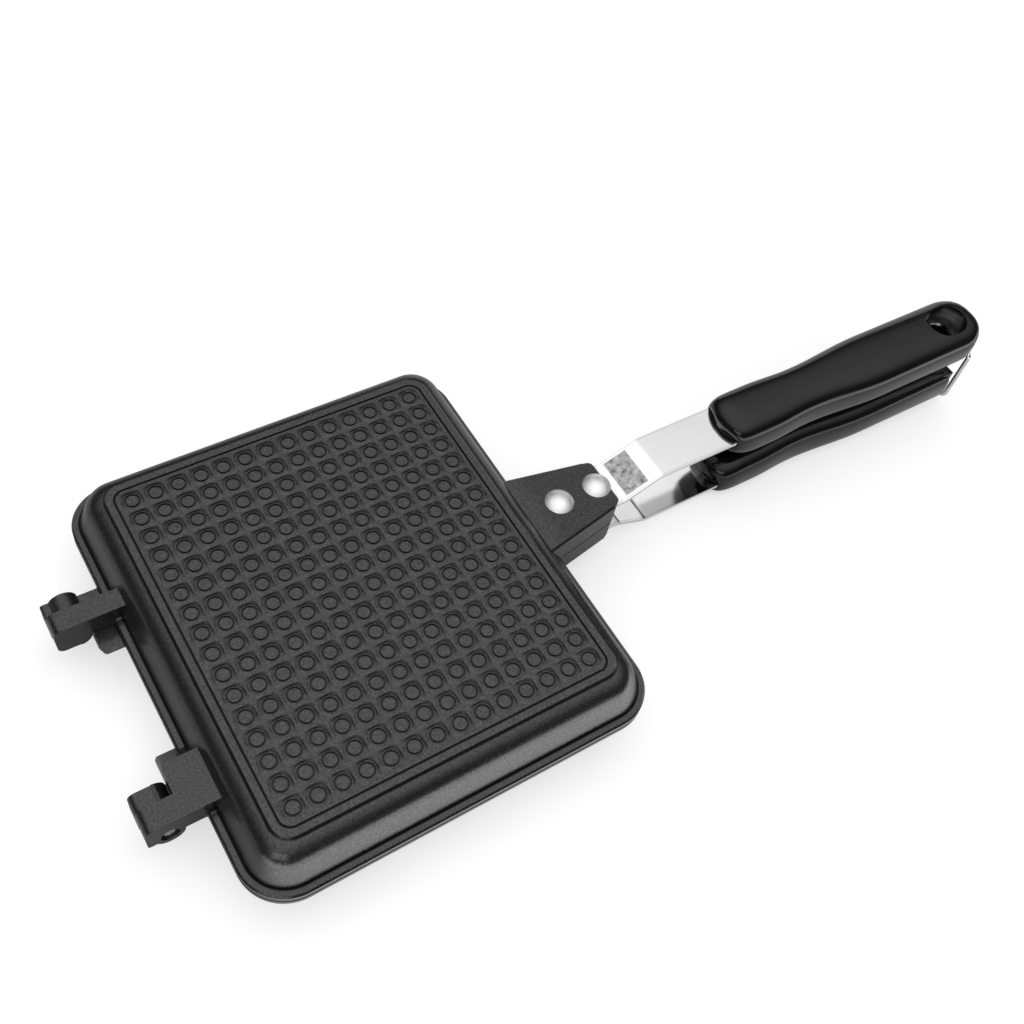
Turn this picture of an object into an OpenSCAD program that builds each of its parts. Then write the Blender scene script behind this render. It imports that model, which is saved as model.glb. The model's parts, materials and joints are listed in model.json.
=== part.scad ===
// Double-sided pie iron: two shallow square pans hinged at one end, with a strap and a grip on each.
// The two pans are one casting used twice: the lower one is turned half a turn about the X axis.
// X runs from the hinge to the grips, Z is up, and Z = 0 is the outer face of the lower pan.

/* [Pans] */
// Length of a pan along the handle, over its rim
pan_length = 144.4; // [133:0.1:170]
// Width of a pan across the handle, over its rim
pan_width = 160.4; // [145:0.1:190]
// Depth of one pan, from its outer face to the parting plane
pan_depth = 17.2; // [15:0.1:22]
// Corner radius of the rim
corner_r = 16; // [15:0.5:20]
// Wall thickness of the castings
wall = 2.6; // [2.2:0.1:3.2]
// Width of the flat lip around each pan
lip_width = 2.6; // [2.4:0.1:3.2]
// Thickness of the lip on each pan
lip_height = 2.8; // [2.2:0.1:3.4]

/* [Dot pattern] */
// Spacing of the dots on the outer faces
dot_pitch = 8; // [7:0.25:10]
// Diameter of the ring around each dot
dot_size = 4.8; // [3.6:0.1:5.4]
// Depth of the rings and of the groove round them
dot_depth = 0.4; // [0.2:0.05:0.5]

/* [Hinge] */
// Distance of the hinge axis from the rim
hinge_reach = 11.8; // [11.4:0.1:13]
// Diameter of the hinge pins
hinge_pin_size = 4; // [3.6:0.1:4.4]

/* [Handles] */
// Length of the lug that holds the strap, from the rim
lug_reach = 29.2; // [28:0.1:34]
// Width of the steel strap
strap_width = 18.6; // [17:0.1:20]
// Thickness of the steel strap
strap_thick = 1.5; // [1.2:0.1:2]
// Length of strap that shows between lug and grip
strap_reach = 50.8; // [46:0.1:70]
// Length of the upper grip
grip_length = 135.4; // [126:0.1:160]
// Width of the grips at the hand
grip_width = 26.2; // [25:0.1:30]
// Thickness of one grip
grip_height = 18.8; // [17.6:0.1:21]
// How much shorter the lower grip is
grip_step = 8.2; // [8:0.1:11]

/* [Latch] */
// Diameter of the wire bail that locks the grips together
bail_wire = 2; // [1.6:0.1:2.2]

/* [Hidden] */
$fn = 48;
part_gap = 0.15;        // half of the gap between the two lips
run_gap = 0.3;          // side gap between pieces that turn past each other
running = 0.05;         // radial clearance of a turning pin
over = 1;               // how far a cutting solid runs past a face

// Pan: every horizontal outline is a core rectangle grown by a distance, with round corners
core_x = pan_length / 2 - corner_r;
core_y = pan_width / 2 - corner_r;
lip_bevel = 0.6;
seam_bevel = 0.35;
wall_grow = corner_r - lip_width;
draft = 20;
shoulder_r = 9;
shoulder_top = pan_depth - 0.4;
shoulder_z = shoulder_top - shoulder_r;
shoulder_c = wall_grow - (shoulder_z + shoulder_r * sin(draft) - lip_height) * tan(draft)
    - shoulder_r * cos(draft);
plateau_grow = 4.6;
plateau_r = 6.8;
plateau_bevel = 0.8;
plateau_root = 1.6;
field_inset = 3.4;
groove_w = 0.5;
groove_r = 4.4;

// Dots
field_x = core_x + plateau_grow - field_inset;
field_y = core_y + plateau_grow - field_inset;
dot_columns = floor(2 * field_x / dot_pitch);
dot_rows = floor(2 * field_y / dot_pitch);
ring_w = 0.6;

// Hinge
axis_x = -pan_length / 2 - hinge_reach;
pin_r = hinge_pin_size / 2;
nose_reach = 7.1;
notch_reach = pin_r + 2.75;
narrow_knuckle_r = notch_reach - 0.3;
wide_knuckle_r = pin_r + 2.8;
wide_top = 8.8;
wide_drop = 2.3;
narrow_top = 8.4;
narrow_drop = 4;
knuckle_step = 0.4;
base_corner_r = 1.5;
root_grow = 9;
arm_root_x = -core_x - root_grow;
arm_fillet = 1.2;
notch_x = axis_x + notch_reach;
narrow_in = pan_width * 0.182;
narrow_out = narrow_in + 7.2;
wide_in = narrow_out + run_gap;
wide_out = wide_in + 7.8;
base_low_in = narrow_in - 9.4;
base_top_in = narrow_in - 2.7;
pin_start = narrow_in + 1.6;
pin_recess = 0.8;
pin_recess_r = pin_r + 1;

// Lug and strap
rim_x = pan_length / 2;
lug_end_x = rim_x + lug_reach;
lug_top = 10.4;
lug_root_y = 15.9;
lug_end_y = 10.4;
lug_corner_r = 3.6;
lug_bevel = 0.7;
strap_x = rim_x + 2.6;
strap_low = 7.15;
slot_gap = 0.1;
strap_rise = 6.5;
bend_slope = 24;
bend_r = 6;
bend_steps = 6;
strap_high = strap_low + strap_rise;
bend_x = lug_end_x + 1.6;
bend_run = (strap_rise - 2 * bend_r * (1 - cos(bend_slope))) / tan(bend_slope)
    + 2 * bend_r * sin(bend_slope);
rivet_r = 2.5;
rivet_head_r = 5.3;
rivet_head_h = 2.1;
rivet_tail_r = 4.2;
rivet_tail_h = 1.8;
rivet_seat = 3.5;
rivet_outer_x = lug_end_x - 4.4;
rivet_inner_x = rivet_outer_x - 16.2;

// Grips: lofted along X from rounded sections, flattened at both ends
grip_x = lug_end_x + strap_reach;
grip_centre = strap_high - 2.05;
grip_half_y = grip_width / 2;
grip_half_z = grip_height / 2;
nose_len = 12;
nose_side_cut = 2.4;
nose_face_cut = 4.8;
nose_rise = 1;
nose_bow = 2.7;
bulb_y = grip_half_y * 0.90;
waist_y = grip_half_y * 0.82;
bulb_end = 20;
waist_at = 40;
palm_at = 79;
section_power = 3;
section_points = 36;
loft_rings = 40;
upper_end_r = grip_half_y - 1.1;
lower_end_r = 3;
edge_r = 6;
tang_gap = 0.1;
upper_end_x = grip_x + grip_length;
lower_length = grip_length - grip_step;
lower_end_x = grip_x + lower_length;
hole_r = 7.5;
hole_run = 3.6;
hole_x = upper_end_x - 16.7;
tang_hole_r = 5.8;
tang_hole_run = 1.6;
tang_hole_x = hole_x - 2;
screw_x = grip_x + 54;
screw_r = 2;
screw_head_r = 3.6;
screw_head_h = 2.4;
screw_slot = 1;

// Latch: a wire bail that hangs from the end of the upper grip, over a nose on the lower one
bail_r = bail_wire / 2;
bail_x = upper_end_x - 5.9;
bail_top = 6.5;
bail_y = grip_half_y - 0.9;
bail_bend = 3;
bail_hook = 1.5;
bail_pin_in = 4.2;
bail_drop = bail_r + 0.1 - grip_centre - grip_half_z;
bail_notch_y = bail_y - bail_r - 0.6;
nose_y = bail_y - bail_r - 0.35;
nose_end_x = bail_x - bail_r - 0.45;
nose_root_x = lower_end_x - 8;
nose_low = 4;
nose_high = -bail_drop - bail_r - 0.4;
nose_round = 1.6;

// ---- placing -----------------------------------------------------------------------------------

// Both pans are drawn with the parting plane at Z = 0 and the outer face upward
module upper_side() translate([0, 0, pan_depth]) children();
module lower_side() translate([0, 0, pan_depth]) rotate([180, 0, 0]) children();

// ---- pans --------------------------------------------------------------------------------------

// A box with rounded corners whose edge has the outline given as a child: X outward, Y up
module pan_form(cx, cy, low, high) {
    translate([0, cy, 0]) rotate([90, 0, 0]) linear_extrude(2 * cy) {
        translate([-cx, low]) square([2 * cx, high - low]);
        translate([cx, 0]) children();
        translate([-cx, 0]) mirror([1, 0]) children();
    }
    translate([-cx, 0, 0]) rotate([90, 0, 90]) linear_extrude(2 * cx) {
        translate([cy, 0]) children();
        translate([-cy, 0]) mirror([1, 0]) children();
    }
    for (sx = [-1, 1], sy = [-1, 1]) translate([sx * cx, sy * cy, 0])
        rotate([0, 0, sx > 0 ? (sy > 0 ? 0 : 270) : (sy > 0 ? 90 : 180)])
            rotate_extrude(angle = 90) children();
}

// A wall that leans in by the draft angle and rolls over into a flat top, clipped to X >= 0
module rolled_wall(foot, low, r) {
    top_x = shoulder_c + r * cos(draft);
    top_z = shoulder_z + r * sin(draft);
    intersection() {
        union() {
            polygon([[0, low], [foot, low], [top_x, top_z], [shoulder_c, shoulder_z], [0, shoulder_z]]);
            translate([shoulder_c, shoulder_z]) circle(r, $fn = 96);
            translate([0, shoulder_z]) square([max(shoulder_c, 0.01), r]);
        }
        translate([0, low]) square([corner_r, pan_depth + over]);
    }
}

// Outline of the pan's outer edge: the lip, then the wall
module outer_edge() {
    polygon([[0, part_gap], [corner_r - seam_bevel, part_gap], [corner_r, part_gap + seam_bevel],
        [corner_r, lip_height - lip_bevel], [corner_r - lip_bevel, lip_height], [0, lip_height]]);
    rolled_wall(wall_grow, lip_height, shoulder_r);
}

// Outline of the cooking hollow's edge, one wall thickness inside
module inner_edge() {
    rolled_wall(wall_grow - wall / cos(draft) + (lip_height + over) * tan(draft), -over, shoulder_r - wall);
}

module rounded_plate(half_x, half_y, r, h) {
    linear_extrude(h) {
        square([2 * half_x, 2 * (half_y - r)], center = true);
        square([2 * (half_x - r), 2 * half_y], center = true);
        for (sx = [-1, 1], sy = [-1, 1]) translate([sx * (half_x - r), sy * (half_y - r)]) circle(r);
    }
}

// The raised plate on the outer face, with a bevelled edge
module plateau() {
    grow = plateau_grow - plateau_r;
    side = plateau_root - plateau_bevel;
    translate([0, 0, pan_depth - plateau_root]) pan_form(core_x + grow, core_y + grow, 0, plateau_root)
        polygon([[0, 0], [plateau_r, 0], [plateau_r, side],
            [plateau_r - plateau_bevel, plateau_root], [0, plateau_root]]);
}

module dot_ring() {
    rotate_extrude() translate([dot_size / 2 - ring_w / 2, -dot_depth])
        square([ring_w, dot_depth + over]);
}

// Everything that is sunk into the outer face: the border groove and the rings
module face_pattern() {
    half_cols = dot_columns * dot_pitch / 2;
    half_rows = dot_rows * dot_pitch / 2;
    translate([0, 0, pan_depth]) {
        translate([0, 0, -dot_depth]) difference() {
            rounded_plate(field_x + groove_w / 2, field_y + groove_w / 2, groove_r, dot_depth + over);
            translate([0, 0, -over])
                rounded_plate(field_x - groove_w / 2, field_y - groove_w / 2, groove_r - groove_w, dot_depth + 3 * over);
        }
        for (i = [0:dot_columns - 1], j = [0:dot_rows - 1])
            translate([(i + 0.5) * dot_pitch - half_cols, (j + 0.5) * dot_pitch - half_rows, 0]) dot_ring();
    }
}

// Side view of a hinge arm: a block with a round nose, and a knuckle round the pin
module arm_outline(knuckle, drop, top, low_r, top_r) {
    tip = axis_x - nose_reach;
    full = max(low_r, top_r);
    translate([tip + full, -drop]) square([nose_reach - full, top + drop]);
    translate([tip, low_r - drop]) square([full + over, top + drop - low_r - top_r]);
    translate([tip + low_r, low_r - drop]) circle(low_r);
    translate([tip + top_r, top - top_r]) circle(top_r);
    translate([tip + low_r, -drop]) square([full + over - low_r, low_r]);
    translate([tip + top_r, top - top_r]) square([full + over - top_r, top_r]);
    translate([axis_x, 0]) circle(knuckle);
    translate([axis_x, part_gap]) square([arm_root_x - axis_x, top - part_gap]);
}

module along_y(from, to) {
    translate([0, to, 0]) rotate([90, 0, 0]) linear_extrude(to - from) children();
}

// The wide arm stands on a broad base with one slanted side, rounded at its front corner
module wide_arm() {
    slant = atan((base_top_in - base_low_in) / (wide_top - part_gap));
    along_y(-wide_out, -wide_in) arm_outline(wide_knuckle_r, wide_drop, wide_top, 1, 3);
    difference() {
        translate([notch_x, 0, 0]) rotate([90, 0, 90]) linear_extrude(arm_root_x - notch_x)
            polygon([[-wide_out, part_gap], [-base_low_in, part_gap], [-base_top_in, wide_top],
                [-wide_out, wide_top]]);
        translate([notch_x, -base_low_in, part_gap]) rotate([slant, 0, 0]) translate([0, 0, -base_corner_r])
            linear_extrude(wide_top + 3 * base_corner_r) difference() {
                translate([-over, -base_corner_r]) square(base_corner_r + over);
                translate([base_corner_r, -base_corner_r]) circle(1.02 * base_corner_r);
            }
    }
}

// The narrow arm's knuckle stands a little above its nose on the side towards the pan
module narrow_arm() {
    along_y(narrow_in, narrow_out) {
        arm_outline(narrow_drop, narrow_drop, narrow_top, 2.6, 3);
        translate([axis_x, 0]) intersection() {
            circle(narrow_knuckle_r);
            translate([knuckle_step, -narrow_knuckle_r - over]) square(2 * (narrow_knuckle_r + over));
        }
    }
}

// Cross-section of a concave fillet in the corner of the two axes
module inside_corner(r) {
    difference() {
        translate([-r / 2, -r / 2]) square(1.5 * r);
        translate([r, r]) circle(1.03 * r);
    }
}

// Fillets where one side of an arm meets the outer edge and the top of the lip
module arm_root(y, side) {
    rim = -pan_length / 2;
    low = part_gap + seam_bevel;
    translate([0, y, 0]) mirror([0, side < 0 ? 1 : 0, 0]) {
        translate([rim, 0, low]) linear_extrude(lip_height - lip_bevel - low)
            mirror([1, 0]) inside_corner(arm_fillet);
        translate([rim + lip_bevel, 0, lip_height]) rotate([90, 0, 90])
            linear_extrude(lip_width - lip_bevel + arm_fillet / 2) inside_corner(arm_fillet);
    }
}

module cross_bore(r, from, to) {
    along_y(from, to) translate([axis_x, 0]) circle(r);
}

// A long cutter that bevels the upper edge of the lug to the left of a line between two points
module edge_cutter(from, to) {
    run = to - from;
    past = lug_bevel + over;
    translate([from[0], from[1], lug_top]) rotate([0, 0, atan2(run[1], run[0])])
        translate([-over, 0, 0]) rotate([90, 0, 90]) linear_extrude(norm(run) + 2 * over)
            polygon([[-past, over], [over, over], [over, -past]]);
}

module lug() {
    root_x = core_x + root_grow;
    slope = (lug_root_y - lug_end_y) / lug_reach;
    root_y = lug_end_y + slope * (lug_end_x - root_x);
    difference() {
        translate([0, 0, part_gap]) linear_extrude(lug_top - part_gap) difference() {
            polygon([[root_x, -root_y], [lug_end_x, -lug_end_y], [lug_end_x, lug_end_y], [root_x, root_y]]);
            for (side = [0, 1]) mirror([0, side])
                translate([lug_end_x - lug_corner_r, lug_end_y - lug_corner_r]) difference() {
                    square(2 * lug_corner_r);
                    circle(lug_corner_r);
                }
        }
        for (side = [0, 1]) mirror([0, side, 0]) edge_cutter([root_x, root_y], [lug_end_x, lug_end_y]);
        edge_cutter([lug_end_x, lug_end_y], [lug_end_x, -lug_end_y]);
    }
}

module rivet_spots() {
    for (x = [rivet_inner_x, rivet_outer_x]) translate([x, 0, 0]) children();
}

// One pan: shell, hinge arms and handle lug in one piece
module casting() {
    difference() {
        union() {
            pan_form(core_x, core_y, part_gap, shoulder_top) outer_edge();
            plateau();
            wide_arm();
            narrow_arm();
            arm_root(-wide_out, -1);
            arm_root(narrow_in, -1);
            arm_root(narrow_out, 1);
            lug();
        }
        pan_form(core_x, core_y, -over, shoulder_top - wall) inner_edge();
        face_pattern();
        cross_bore(pin_r + running, -wide_out - over, -wide_in + over);
        cross_bore(pin_recess_r, -wide_out - over, -wide_out + pin_recess);
        cross_bore(pin_r, pin_start, narrow_out + over);
        translate([strap_x - slot_gap, -strap_width / 2 - slot_gap, strap_low - strap_thick / 2 - slot_gap])
            cube([lug_reach, strap_width + 2 * slot_gap, strap_thick + 2 * slot_gap]);
        rivet_spots() {
            cylinder(r = rivet_r, h = lug_top + over);
            translate([0, 0, -over]) cylinder(r = rivet_tail_r + 0.3, h = rivet_seat + over);
        }
    }
}

module upper_pan() color("dimgray") upper_side() casting();
module lower_pan() color("dimgray") lower_side() casting();

// ---- hinge pins --------------------------------------------------------------------------------

// Each pin is pressed into a narrow arm and turns in the wide arm beside it
module hinge_pin() {
    end_bevel = 0.3;
    length = wide_out - pin_recess - pin_start;
    translate([axis_x, -pin_start, 0]) rotate([90, 0, 0]) {
        cylinder(r = pin_r, h = length - end_bevel);
        translate([0, 0, length - end_bevel]) cylinder(r1 = pin_r, r2 = pin_r - end_bevel, h = end_bevel);
    }
}

module hinge_pin_near() color("lightgray") upper_side() hinge_pin();
module hinge_pin_far() color("lightgray") lower_side() hinge_pin();

// ---- straps ------------------------------------------------------------------------------------

// One face of the strap, a distance above its middle line: flat, up a slope, and flat again
function strap_face(above) = concat(
    [[strap_x, strap_low + above]],
    [for (i = [0:bend_steps]) let (a = bend_slope * i / bend_steps)
        [bend_x + (bend_r - above) * sin(a), strap_low + bend_r - (bend_r - above) * cos(a)]],
    [for (i = [bend_steps:-1:0]) let (a = bend_slope * i / bend_steps)
        [bend_x + bend_run - (bend_r + above) * sin(a), strap_high - bend_r + (bend_r + above) * cos(a)]]);

function reversed(list) = [for (i = [len(list) - 1:-1:0]) list[i]];

module strap(end_x) {
    half = strap_thick / 2;
    difference() {
        along_y(-strap_width / 2, strap_width / 2) polygon(concat(
            strap_face(half), [[end_x, strap_high + half], [end_x, strap_high - half]],
            reversed(strap_face(-half))));
        rivet_spots() cylinder(r = rivet_r, h = lug_top);
        translate([screw_x, 0, strap_high - bend_r]) cylinder(r = screw_r + 0.1, h = 2 * bend_r);
    }
}

// A hole with two round ends, along X
module long_hole(x, r, run, low, high) {
    translate([x, 0, low]) linear_extrude(high - low) {
        square([run, 2 * r], center = true);
        for (s = [-1, 1]) translate([s * run / 2, 0]) circle(r);
    }
}

module upper_strap() color("silver") upper_side() difference() {
    strap(bail_x - 1.5);
    long_hole(tang_hole_x, tang_hole_r, tang_hole_run, strap_high - bend_r, strap_high + bend_r);
}

module lower_strap() color("silver") lower_side() strap(lower_end_x - 4);

// ---- rivets ------------------------------------------------------------------------------------

module rivet(x) {
    dome_r = (pow(rivet_head_r, 2) + pow(rivet_head_h, 2)) / (2 * rivet_head_h);
    translate([x, 0, 0]) {
        translate([0, 0, rivet_seat]) cylinder(r = rivet_r, h = lug_top - rivet_seat);
        translate([0, 0, rivet_seat - rivet_tail_h]) cylinder(r = rivet_tail_r, h = rivet_tail_h);
        translate([0, 0, lug_top]) intersection() {
            translate([0, 0, rivet_head_h - dome_r]) sphere(dome_r, $fn = 96);
            cylinder(r = rivet_head_r + over, h = rivet_head_h + over);
        }
    }
}

module upper_rivet_inner() color("gainsboro") upper_side() rivet(rivet_inner_x);
module upper_rivet_outer() color("gainsboro") upper_side() rivet(rivet_outer_x);
module lower_rivet_inner() color("gainsboro") lower_side() rivet(rivet_inner_x);
module lower_rivet_outer() color("gainsboro") lower_side() rivet(rivet_outer_x);

// ---- grips -------------------------------------------------------------------------------------

function ease(a, b, t) = a + (b - a) * (1 - cos(180 * max(0, min(1, t)))) / 2;

// How much a quarter-round of radius r takes off, a distance past its start
function round_off(past, r) = r - sqrt(pow(r, 2) - pow(max(0, min(past, r)), 2));

// Half width and half height of a grip, a distance along it
function side_at(s) = s < bulb_end ? bulb_y
    : s < waist_at ? ease(bulb_y, waist_y, (s - bulb_end) / (waist_at - bulb_end))
    : ease(waist_y, grip_half_y, (s - waist_at) / (palm_at - waist_at));

function half_y_at(s, length, end_r) = side_at(s) - round_off(nose_len - s, nose_len) * nose_side_cut / nose_len
    - round_off(s - length + end_r, end_r);

function half_z_at(s, length, r) = grip_half_z - round_off(nose_len - s, nose_len) * nose_face_cut / nose_len
    - round_off(s - length + r, r);

function centre_at(s) = ease(grip_centre + nose_rise, grip_centre, s / nose_len);

// The front of a grip is bowed: its middle reaches further forward than its sides
function bow_at(s) = nose_bow * pow(max(0, 1 - s / (2 * nose_len)), 2);

function signed_power(v, p) = sign(v) * pow(abs(v), p);

function section(s, length, end_r) = [for (k = [0:section_points - 1])
    let (a = 360 * (k + 0.5) / section_points,
        across = signed_power(cos(a), 2 / section_power),
        up = signed_power(sin(a), 2 / section_power))
    [grip_x + s + bow_at(s) * pow(across, 2),
        half_y_at(s, length, end_r) * across,
        centre_at(s) + half_z_at(s, length, min(edge_r, end_r)) * up]];

function ring_spot(i, length) = length * (1 - cos(180 * i / loft_rings)) / 2;

module grip_form(length, end_r) {
    n = section_points;
    last = loft_rings * n;
    points = concat([for (i = [0:loft_rings]) each section(ring_spot(i, length), length, end_r)],
        [[grip_x, 0, centre_at(0)]]);
    sides = [for (i = [0:loft_rings - 1], k = [0:n - 1])
        each [[i * n + k, (i + 1) * n + (k + 1) % n, i * n + (k + 1) % n],
            [i * n + k, (i + 1) * n + k, (i + 1) * n + (k + 1) % n]]];
    front = [for (k = [0:n - 1]) [k, (k + 1) % n, last + n]];
    back = [[for (k = [n - 1:-1:0]) last + k]];
    polyhedron(points, concat(front, sides, back), convexity = 6);
}

// What both grips have cut out: the socket for the strap and the screw from the inner face
module grip_cuts(socket_end) {
    half = strap_thick / 2 + tang_gap;
    translate([grip_x - over, -strap_width / 2 - tang_gap, strap_high - half])
        cube([socket_end - grip_x + over + tang_gap, strap_width + 2 * tang_gap, 2 * half]);
    translate([screw_x, 0, -over]) cylinder(r = screw_r + 0.1, h = strap_high + 4 + over);
    translate([screw_x, 0, -over])
        cylinder(r = screw_head_r + 0.3, h = grip_centre - grip_half_z + screw_head_h + 0.6 + over);
}

module upper_grip() color("black") upper_side() difference() {
    grip_form(grip_length, upper_end_r);
    grip_cuts(bail_x - 1.5);
    long_hole(hole_x, hole_r, hole_run, 0, 2 * grip_height);
    for (s = [-1, 1]) {
        translate([bail_x - 1.8, s > 0 ? bail_notch_y : -bail_notch_y - grip_width, -over])
            cube([grip_width, grip_width, bail_top + bail_r + 1 + over]);
        translate([bail_x, s * (bail_y - bail_pin_in - 0.4), bail_top]) rotate([s > 0 ? -90 : 90, 0, 0])
            cylinder(r = bail_r + running, h = bail_pin_in + grip_width);
    }
}

// The catch on the end of the lower grip, rounded at its two long outer edges
module catch_nose() {
    along_y(-nose_y, nose_y) {
        translate([nose_root_x, nose_low])
            square([nose_end_x - nose_root_x - nose_round, nose_high - nose_low]);
        translate([nose_root_x, nose_low + nose_round])
            square([nose_end_x - nose_root_x, nose_high - nose_low - 2 * nose_round]);
        for (z = [nose_low + nose_round, nose_high - nose_round])
            translate([nose_end_x - nose_round, z]) circle(nose_round);
    }
}

module lower_grip() color("black") lower_side() difference() {
    union() {
        grip_form(lower_length, lower_end_r);
        catch_nose();
    }
    grip_cuts(lower_end_x - 4);
}

module grip_screw() {
    face = grip_centre - grip_half_z + 0.6;
    translate([screw_x, 0, face]) difference() {
        union() {
            cylinder(r1 = screw_head_r, r2 = screw_r, h = screw_head_h);
            cylinder(r = screw_r, h = strap_high + 3 - face);
        }
        translate([-screw_slot / 2, -screw_head_r - over, -over])
            cube([screw_slot, 2 * (screw_head_r + over), over + 0.9]);
    }
}

module upper_grip_screw() color("silver") upper_side() grip_screw();
module lower_grip_screw() color("silver") lower_side() grip_screw();

// ---- latch -------------------------------------------------------------------------------------

// A quarter bend of wire in the YZ plane, about its centre; turn 0 runs from -Z to +Y
module wire_bend(r, turn) {
    rotate([0, 90, 0]) rotate([0, 0, turn]) rotate_extrude(angle = 90) translate([r, 0]) circle(bail_r);
}

module bail_half() {
    leg_low = bail_drop + bail_bend;
    leg_high = bail_top - bail_hook;
    translate([0, bail_y, leg_low]) cylinder(r = bail_r, h = leg_high - leg_low);
    translate([0, bail_y - bail_bend, leg_low]) wire_bend(bail_bend, 0);
    translate([0, bail_y - bail_hook, leg_high]) wire_bend(bail_hook, 90);
    translate([0, bail_y - bail_hook, bail_top]) rotate([90, 0, 0])
        cylinder(r = bail_r, h = bail_pin_in - bail_hook);
}

module latch_bail() color("silver") upper_side() translate([bail_x, 0, 0]) {
    translate([0, 0, bail_drop]) rotate([90, 0, 0])
        cylinder(r = bail_r, h = 2 * (bail_y - bail_bend), center = true);
    for (side = [0, 1]) mirror([0, side, 0]) bail_half();
}

lower_pan();
upper_pan();
hinge_pin_near();
hinge_pin_far();
lower_strap();
upper_strap();
lower_rivet_inner();
lower_rivet_outer();
upper_rivet_inner();
upper_rivet_outer();
lower_grip();
upper_grip();
lower_grip_screw();
upper_grip_screw();
latch_bail();
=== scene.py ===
import json
import math

import bmesh
import bpy
from mathutils import Matrix, Vector


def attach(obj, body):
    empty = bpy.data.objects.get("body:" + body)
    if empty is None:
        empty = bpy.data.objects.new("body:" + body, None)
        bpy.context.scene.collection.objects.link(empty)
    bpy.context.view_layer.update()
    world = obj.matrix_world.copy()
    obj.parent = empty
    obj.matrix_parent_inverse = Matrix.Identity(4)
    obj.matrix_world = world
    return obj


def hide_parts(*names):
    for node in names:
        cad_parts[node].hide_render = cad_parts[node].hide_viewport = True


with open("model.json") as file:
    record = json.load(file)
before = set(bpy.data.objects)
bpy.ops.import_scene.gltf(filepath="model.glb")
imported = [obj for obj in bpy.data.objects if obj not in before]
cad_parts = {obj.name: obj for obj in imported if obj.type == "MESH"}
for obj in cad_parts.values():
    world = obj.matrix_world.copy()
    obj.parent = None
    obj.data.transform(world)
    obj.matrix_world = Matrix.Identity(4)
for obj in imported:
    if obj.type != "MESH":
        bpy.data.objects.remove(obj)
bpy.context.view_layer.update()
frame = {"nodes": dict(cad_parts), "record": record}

nodes = frame["nodes"]


# ---- sizes of the CAD part that the looks depend on, in metres -----------------------------------

PAN = (0.0722, 0.0802)        # half length and half width of a pan over its rim
MID = 0.0172                  # height of the parting plane
PITCH = 0.008                 # spacing of the dots
DOTS = (14, 16)               # number of dots along X and along Y
RING = 0.0024                 # radius of the ring round a dot


def inset(distance, corner):
    """A rounded outline inside the rim: its half length, half width and corner radius."""
    return PAN[0] - distance, PAN[1] - distance, corner


WALL_FOOT = inset(0.0026, 0.0134)
PLATE_EDGE = inset(0.0116, 0.0066)
GROOVE = inset(0.0148, 0.00415)

# Distances from the parting plane that tell the surfaces of a casting apart
OUTER_FACE = 0.0164           # the dotted face and its border groove lie past it
PLATE_ROOT = 0.0155           # the raised plate lies past it, with its edge
RIM_TOP = 0.0040              # the rim and the foot of the wall lie within it

ARMS_X = -0.0725              # only the hinge arms reach past it, away from the grips
LUG_X = (0.070, 0.076)        # from the rim to the lug, which shines less
SLOPE_X = 0.1100              # middle of the strap's sloped part
LEVEL_X = (0.1180, 0.1190)    # where its level part begins, and the painted shade on it
STRAP_EDGE = 0.0087           # just inside a long edge of the strap, from its middle line, where a line of painted shade runs
PATCH = (0.0044, 0.0078)      # half length and half width of the dull patch on the slope


# ---- material helpers ----------------------------------------------------------------------------

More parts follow.
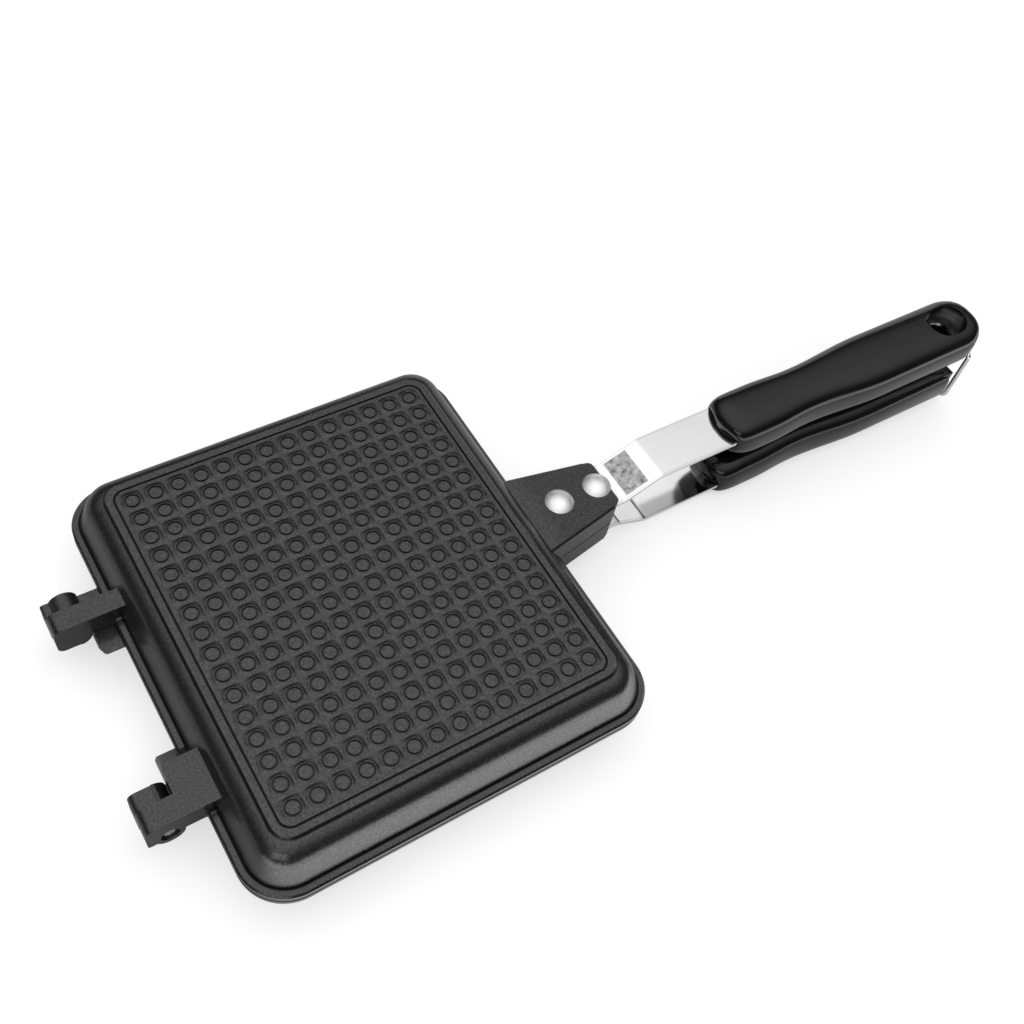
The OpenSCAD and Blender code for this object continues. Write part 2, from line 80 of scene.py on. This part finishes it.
class Shader:
    """A principled material and short ways to add nodes to it."""

    def __init__(self, name, rough=0.5, metal=0.0, **sockets):
        self.mat = bpy.data.materials.new(name)
        self.mat.use_nodes = True
        self.tree = self.mat.node_tree
        self.tree.nodes.clear()
        out = self.tree.nodes.new("ShaderNodeOutputMaterial")
        self.bsdf = self.tree.nodes.new("ShaderNodeBsdfPrincipled")
        self.link(self.bsdf.outputs[0], out.inputs["Surface"])
        self.bsdf.inputs["Roughness"].default_value = rough
        self.bsdf.inputs["Metallic"].default_value = metal
        for key, value in sockets.items():
            self.bsdf.inputs[key.replace("_", " ")].default_value = value
        coordinates = self.tree.nodes.new("ShaderNodeTexCoord")
        self.place = coordinates.outputs["Object"]
        self.facing = coordinates.outputs["Normal"]

    def link(self, a, b):
        self.tree.links.new(a, b)

    def put(self, socket, value):
        """Give a socket a number, a colour or another node's output."""
        if isinstance(value, (int, float, tuple)):
            socket.default_value = value
        else:
            self.link(value, socket)

    def math(self, operation, *values):
        n = self.tree.nodes.new("ShaderNodeMath")
        n.operation = operation
        for socket, value in zip(n.inputs, values):
            self.put(socket, value)
        return n.outputs[0]

    def plus(self, a, b):
        return self.math("ADD", a, b)

    def minus(self, a, b):
        return self.math("SUBTRACT", a, b)

    def times(self, a, b):
        return self.math("MULTIPLY", a, b)

    def most(self, a, b):
        return self.math("MAXIMUM", a, b)

    def absolute(self, a):
        return self.math("ABSOLUTE", a)

    def past(self, a, limit):
        """1 where a is greater than the limit, 0 elsewhere."""
        return self.math("GREATER_THAN", a, limit)

    def under(self, a, limit):
        """1 where a is less than the limit, 0 elsewhere."""
        return self.math("LESS_THAN", a, limit)

    def length(self, a, b):
        return self.math("SQRT", self.plus(self.times(a, a), self.times(b, b)))

    def split(self, vector):
        n = self.tree.nodes.new("ShaderNodeSeparateXYZ")
        self.link(vector, n.inputs[0])
        return n.outputs

    def stretch(self, scale):
        n = self.tree.nodes.new("ShaderNodeMapping")
        n.inputs["Scale"].default_value = scale
        self.link(self.place, n.inputs["Vector"])
        return n.outputs[0]

    def noise(self, scale, detail=3.0, rough=0.5, vector=None):
        n = self.tree.nodes.new("ShaderNodeTexNoise")
        n.inputs["Scale"].default_value = scale
        n.inputs["Detail"].default_value = detail
        n.inputs["Roughness"].default_value = rough
        self.link(vector or self.place, n.inputs["Vector"])
        return n.outputs[0]

    def cells(self, scale):
        n = self.tree.nodes.new("ShaderNodeTexVoronoi")
        n.inputs["Scale"].default_value = scale
        self.link(self.place, n.inputs["Vector"])
        return n.outputs["Distance"]

    def fit(self, value, low, high, to_low=0.0, to_high=1.0, smooth=False):
        """Map low..high to to_low..to_high, held level outside."""
        n = self.tree.nodes.new("ShaderNodeMapRange")
        n.interpolation_type = "SMOOTHSTEP" if smooth else "LINEAR"
        for key, v in (("Value", value), ("From Min", low), ("From Max", high),
                       ("To Min", to_low), ("To Max", to_high)):
            self.put(n.inputs[key], v)
        return n.outputs[0]

    def near(self, value, at, width, soft=None):
        """1 where a value is within a width of a place, falling to 0 over the soft distance."""
        away = self.absolute(self.minus(value, at))
        soft = soft or width
        return self.fit(away, width - soft / 2, width + soft / 2, 1.0, 0.0, smooth=True)

    def ramp(self, factor, *stops):
        """Greys that follow a factor: each stop is its place and its grey."""
        n = self.tree.nodes.new("ShaderNodeValToRGB")
        elements = n.color_ramp.elements
        while len(elements) < len(stops):
            elements.new(0.5)
        for element, (at, grey) in zip(elements, stops):
            element.position = at
            element.color = (grey, grey, grey, 1)
        self.link(factor, n.inputs[0])
        return n.outputs[0]

    def blend(self, factor, a, b):
        """Colour a where the factor is 0 and b where it is 1; b may be a grey."""
        n = self.tree.nodes.new("ShaderNodeMix")
        n.data_type = "RGBA"
        factor_in, a_in, b_in, color_out = n.inputs[0], n.inputs[6], n.inputs[7], n.outputs[2]
        self.link(factor, factor_in)
        self.link(a, a_in)
        self.put(b_in, (b, b, b, 1) if isinstance(b, float) else b)
        return color_out

    def bump(self, height, distance, strength=1.0, before=None):
        n = self.tree.nodes.new("ShaderNodeBump")
        n.inputs["Strength"].default_value = strength
        n.inputs["Distance"].default_value = distance
        self.link(height, n.inputs["Height"])
        if before is not None:
            self.link(before, n.inputs["Normal"])
        return n.outputs[0]

    def done(self, color, rough=None, normal=None, shine=None):
        for key, value in (("Base Color", color), ("Roughness", rough), ("Normal", normal),
                           ("Specular IOR Level", shine)):
            if value is not None:
                self.link(value, self.bsdf.inputs[key])
        return self.mat


# ---- materials -----------------------------------------------------------------------------------

PILLOW_SQUARE = (0.36, 0.5)       # where a pillow's square slopes down, in pitches from its dot
PILLOW_DISC = (0.0029, 0.0037)    # where the disc on it does, in metres
PILLOW_HEIGHT = 0.00038
SHADE_HALF_WIDTH = 0.0004                     # half width of the painted shade lines and rings on a casting
SEAM_SHADE_WIDTH = 0.0005                     # half width of the painted shade in the gap between the two pans
RING_SHADE_DEPTH = 0.6                  # how dark the painted shade in the rings and along the plate's edge is, from 0 to 1
LINE_SHADE_DEPTH = 0.85                 # and in the groove, the foot of the wall and the seam


def place_in_cell(s, v):
    """Each dot has a square cell of its own, over which this runs from -0.5 to 0.5."""
    return s.minus(s.math("FRACT", s.math("DIVIDE", v, PITCH)), 0.5)


def line_along(s, wide, deep, outline):
    """1 on a narrow line along a rounded outline, from the distances to the pan's middle lines."""
    half_x, half_y, corner = outline
    past_x = s.most(s.minus(wide, half_x - corner), 0.0)
    past_y = s.most(s.minus(deep, half_y - corner), 0.0)
    return s.near(s.length(past_x, past_y), corner, SHADE_HALF_WIDTH)


def coated_casting():
    """Charcoal non-stick coating: fine speckle, satin, with softly pillowed dots on the outer faces, and
    painted shade in its rings, edges, grooves and seam.
    """
    s = Shader("coated_casting", rough=0.3, IOR=1.6)
    x, y, z = s.split(s.place)
    wide, deep, level = s.absolute(x), s.absolute(y), s.absolute(s.minus(z, MID))
    outer = s.past(level, OUTER_FACE)
    inside = s.times(s.under(wide, DOTS[0] / 2 * PITCH), s.under(deep, DOTS[1] / 2 * PITCH))
    field = s.times(inside, outer)

    # the pillow round a dot: a rounded square that fills its cell, with a disc on it
    u, v = place_in_cell(s, x), place_in_cell(s, y)
    radius = s.times(s.length(u, v), PITCH)
    fourth = s.plus(s.math("POWER", s.absolute(u), 4), s.math("POWER", s.absolute(v), 4))
    square = s.fit(s.math("POWER", fourth, 0.25), *PILLOW_SQUARE, 1.0, 0.0, smooth=True)
    disc = s.fit(radius, *PILLOW_DISC, 1.0, 0.0, smooth=True)
    pillow = s.plus(s.times(square, 0.6), s.times(disc, 0.4))
    height = s.times(s.minus(pillow, 1.0), field)

    # painted shade, darker and duller, in the ring grooves and along the plate's edge, the border groove,
    # the foot of the wall and the seam between the pans
    ring_shade = s.times(s.near(radius, RING, SHADE_HALF_WIDTH), field)
    edge_shade = s.times(line_along(s, wide, deep, PLATE_EDGE), s.past(level, PLATE_ROOT))
    groove_shade = s.times(line_along(s, wide, deep, GROOVE), outer)
    foot_shade = s.times(line_along(s, wide, deep, WALL_FOOT), s.under(level, RIM_TOP))
    seam_shade = s.times(s.near(level, 0.0, SEAM_SHADE_WIDTH), s.past(x, ARMS_X))
    lines = s.most(s.most(groove_shade, foot_shade), seam_shade)
    painted_shade = s.most(s.times(s.most(edge_shade, ring_shade), RING_SHADE_DEPTH), s.times(lines, LINE_SHADE_DEPTH))

    grain = s.noise(1500.0, 4.0, 0.62)
    fleck = s.cells(1300.0)
    drift = s.noise(16.0)
    shade = s.plus(s.times(grain, 0.8), s.times(drift, 0.2))
    coat = s.ramp(shade, (0.32, 0.008), (0.52, 0.013), (0.74, 0.026))
    # the painted shade is laid on the coat's colour here
    color = s.blend(painted_shade, coat, 0.003)
    rough = s.fit(s.plus(grain, s.times(drift, 0.4)), 0.4, 1.0, 0.2, 0.3)
    shine = s.times(s.fit(grain, 0.3, 0.7, 0.34, 0.8), s.minus(1.0, painted_shade))
    shine = s.times(shine, s.fit(x, *LUG_X, 1.0, 0.75))
    pillowed = s.bump(height, PILLOW_HEIGHT)
    grained = s.bump(grain, 0.00002, 1.0, pillowed)
    return s.done(color, rough, s.bump(fleck, 0.00001, 0.6, grained), shine)


def strap_steel():
    """Polished strap steel: faint lines along it, soft clouding and a dull patch on the slope, with painted
    shade on its level part and along its long edges.
    """
    s = Shader("strap_steel", rough=0.12, metal=1.0)
    x, y, z = s.split(s.place)
    lines = s.noise(1.0, 3.0, 0.55, s.stretch((40, 3200, 900)))
    cloud = s.noise(70.0, 4.0)
    mottle = s.noise(420.0, 4.0, 0.7)

    # the patch lies on the outer side of the upper strap alone
    patch = s.times(s.near(x, SLOPE_X, PATCH[0], soft=0.0005), s.near(y, 0.0, PATCH[1], soft=0.0006))
    facing_up = s.past(s.split(s.facing)[2], 0.0)
    patch = s.times(patch, s.times(s.past(z, MID), facing_up))

    # painted shade: a little greyer on the level part, for a dimmer reflection there, and along the two
    # long edges
    edge_line_shade = s.near(s.absolute(y), STRAP_EDGE, 0.0002)
    strap_painted_shade = s.most(s.fit(x, *LEVEL_X, 0.0, 0.1), s.times(edge_line_shade, 0.4))
    streaks = s.plus(s.times(lines, 0.35), s.times(cloud, 0.65))
    bright = s.blend(strap_painted_shade, s.ramp(streaks, (0.3, 0.88), (0.7, 0.98)), 0.35)
    color = s.blend(patch, bright, s.ramp(mottle, (0.35, 0.16), (0.5, 0.4), (0.65, 0.55)))
    rough = s.plus(s.fit(cloud, 0.3, 0.7, 0.08, 0.15), s.times(patch, 0.25))
    return s.done(color, rough, s.bump(lines, 0.000004))


def rivet_metal():
    """Bright tumbled rivet heads with small dents."""
    s = Shader("rivet_metal", rough=0.5, metal=1.0)
    dents = s.noise(700.0, 3.0, 0.6)
    color = s.ramp(s.noise(240.0), (0.3, 0.94), (0.7, 1.0))
    rough = s.fit(dents, 0.3, 0.7, 0.36, 0.55)
    return s.done(color, rough, s.bump(dents, 0.00003))


def pin_steel():
    """Cut ends of the hinge pins."""
    s = Shader("pin_steel", rough=0.35, metal=1.0)
    marks = s.noise(900.0)
    color = s.ramp(marks, (0.3, 0.5), (0.7, 0.75))
    return s.done(color, s.fit(marks, 0.3, 0.7, 0.28, 0.45), s.bump(marks, 0.00002))


def black_grip():
    """Glossy moulded black resin with a faint unevenness and light handling marks."""
    s = Shader("black_grip", rough=0.14, Specular_IOR_Level=0.42)
    waves = s.noise(80.0, 2.0, 0.4)
    skin = s.noise(1500.0, 3.0, 0.6)
    color = s.ramp(s.noise(40.0), (0.3, 0.0035), (0.7, 0.006))
    rough = s.fit(s.noise(60.0, 5.0, 0.65), 0.3, 0.75, 0.11, 0.2)
    uneven = s.bump(waves, 0.00008)
    return s.done(color, rough, s.bump(skin, 0.000004, 1.0, uneven))


def bright_wire(name):
    """Plated wire and screw heads."""
    s = Shader(name, rough=0.2, metal=1.0)
    marks = s.noise(800.0, 3.0, 0.6)
    color = s.ramp(s.noise(130.0), (0.3, 0.62), (0.7, 0.8))
    return s.done(color, s.fit(marks, 0.3, 0.7, 0.12, 0.24), s.bump(marks, 0.00001))


MATERIALS = {
    "coated_casting": coated_casting(),
    "strap_steel": strap_steel(),
    "rivet_metal": rivet_metal(),
    "pin_steel": pin_steel(),
    "black_grip": black_grip(),
    "screw_steel": bright_wire("screw_steel"),
    "bail_wire": bright_wire("bail_wire"),
}

for part in frame["record"]["subparts"]:
    cad = nodes[part["node"]]
    cad.data.materials.clear()
    cad.data.materials.append(MATERIALS[part["material_slot"]])


# ---- smooth grips --------------------------------------------------------------------------------

SHARP = math.radians(32)      # an edge that turns more than this stays sharp
SAME = 1e-6                   # corners closer than this are one point


def smooth_grip(node, body):
    """The CAD grip with its small facets joined and shaded as one smooth moulding."""
    mesh = nodes[node].data.copy()
    mesh.name = node + "_smooth"
    work = bmesh.new()
    work.from_mesh(mesh)
    bmesh.ops.remove_doubles(work, verts=work.verts, dist=SAME)
    work.to_mesh(mesh)
    work.free()
    mesh.shade_smooth()
    mesh.set_sharp_from_angle(angle=SHARP)
    grip = bpy.data.objects.new(mesh.name, mesh)
    bpy.context.scene.collection.objects.link(grip)
    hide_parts(node)
    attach(grip, body)


smooth_grip("upper_grip", "lid")
smooth_grip("lower_grip", "base")


# ---- floor ---------------------------------------------------------------------------------------

FLOOR_AT = (0.25, 0, -0.0055)
FLOOR_SIZE = 1.6
TILT = math.radians(1.0)      # the iron leans on its pan and on the lower grip, so the floor meets both
FLOOR_GLOW = 0.6              # white that the floor adds where the camera sees it
CARD = 2.0                    # light that only glossy rays see on the floor in front of the iron
CARD_NEAR = (0.06, 0.13)      # the near side of that reflector card, from the iron's middle line
CARD_FAR = (0.20, 0.36)       # and its far side
SIDE = 0.22                   # light that only they see beside the handle
SIDE_X = (-0.2, -0.1)         # where that begins, along the floor from its middle


def floor_white():
    """A white floor that keeps the shadow, with a reflector card on it that only glossy rays see."""
    s = Shader("floor_white", rough=0.8, Specular_IOR_Level=0.2)
    along, across, _ = s.split(s.place)
    away = s.times(across, -1.0)
    card = s.times(s.fit(away, *CARD_NEAR, smooth=True), s.fit(away, *CARD_FAR, CARD, 0.0, smooth=True))
    mirrored = s.most(card, s.fit(along, *SIDE_X, 0.0, SIDE, smooth=True))
    path = s.tree.nodes.new("ShaderNodeLightPath").outputs
    glow = s.most(s.times(path["Is Camera Ray"], FLOOR_GLOW), s.times(path["Is Glossy Ray"], mirrored))
    s.put(s.bsdf.inputs["Emission Color"], (1, 1, 1, 1))
    s.put(s.bsdf.inputs["Emission Strength"], glow)
    return s.done(s.ramp(s.noise(3.0), (0.3, 0.6), (0.7, 0.62)))


bpy.ops.mesh.primitive_plane_add(size=FLOOR_SIZE, location=(0, 0, 0))
floor = bpy.context.object
floor.name = "floor"
floor.matrix_world = Matrix.Translation(FLOOR_AT) @ Matrix.Rotation(TILT, 4, "Y")
floor.data.materials.append(floor_white())


# ---- light ---------------------------------------------------------------------------------------

def studio_world(low, high, start):
    """Plain white for the camera. For the rest soft light, from low at a start height to high overhead."""
    world = bpy.data.worlds.new("studio")
    bpy.context.scene.world = world
    world.use_nodes = True
    tree = world.node_tree
    tree.nodes.clear()
    new, link = tree.nodes.new, tree.links.new
    place, split = new("ShaderNodeTexCoord"), new("ShaderNodeSeparateXYZ")
    grow = new("ShaderNodeMapRange")
    grow.interpolation_type = "SMOOTHSTEP"
    for key, value in (("From Min", start), ("From Max", 1.0), ("To Min", low), ("To Max", high)):
        grow.inputs[key].default_value = value
    fill, back = new("ShaderNodeBackground"), new("ShaderNodeBackground")
    path, mix, out = new("ShaderNodeLightPath"), new("ShaderNodeMixShader"), new("ShaderNodeOutputWorld")
    for shader in (fill, back):
        shader.inputs["Color"].default_value = (1, 1, 1, 1)
    link(place.outputs["Generated"], split.inputs[0])
    link(split.outputs["Z"], grow.inputs["Value"])
    link(grow.outputs[0], fill.inputs["Strength"])
    link(path.outputs["Is Camera Ray"], mix.inputs[0])
    link(fill.outputs[0], mix.inputs[1])
    link(back.outputs[0], mix.inputs[2])
    link(mix.outputs[0], out.inputs["Surface"])


def softbox(name, place, aim, size, power):
    data = bpy.data.lights.new(name, "AREA")
    data.shape = "RECTANGLE"
    data.size, data.size_y = size
    data.energy = power
    light = bpy.data.objects.new(name, data)
    bpy.context.scene.collection.objects.link(light)
    light.location = place
    light.rotation_mode = "QUATERNION"
    light.rotation_quaternion = (Vector(aim) - Vector(place)).to_track_quat("-Z", "Y")
    light.visible_camera = False


STRIP_HEIGHTS = (0.36, 0.50, 0.64, 0.78)    # four narrow lights, one above the other

studio_world(low=0.08, high=1.26, start=0.34)
for k, height in enumerate(STRIP_HEIGHTS):
    softbox("strip_%d" % k, place=(-0.85, -0.85, height), aim=(0.05, 0, 0.02), size=(0.9, 0.03), power=0.55)
softbox("back", place=(1.0, 0.9, 0.14), aim=(0.1, 0, 0), size=(1.2, 0.35), power=1.0)


# ---- camera, solved from the dots of the upper face ----------------------------------------------

EYE = (-0.105412, -0.179464, 0.374953)
RIGHT = Vector((0.84393, -0.51906, 0.13546))
DOWN = Vector((-0.36393, -0.73950, -0.56630))
FORWARD = Vector((0.39412, 0.42862, -0.81299))

camera = bpy.data.cameras.new("camera")
camera.sensor_width = 36.0
camera.lens = 42.65
camera.clip_start = 0.01
view = bpy.data.objects.new("camera", camera)
bpy.context.scene.collection.objects.link(view)
bpy.context.scene.camera = view
axes = Matrix((RIGHT, -DOWN, -FORWARD)).transposed()
view.matrix_world = Matrix.Translation(EYE) @ axes.to_4x4()

bpy.context.scene.view_settings.view_transform = "Standard"
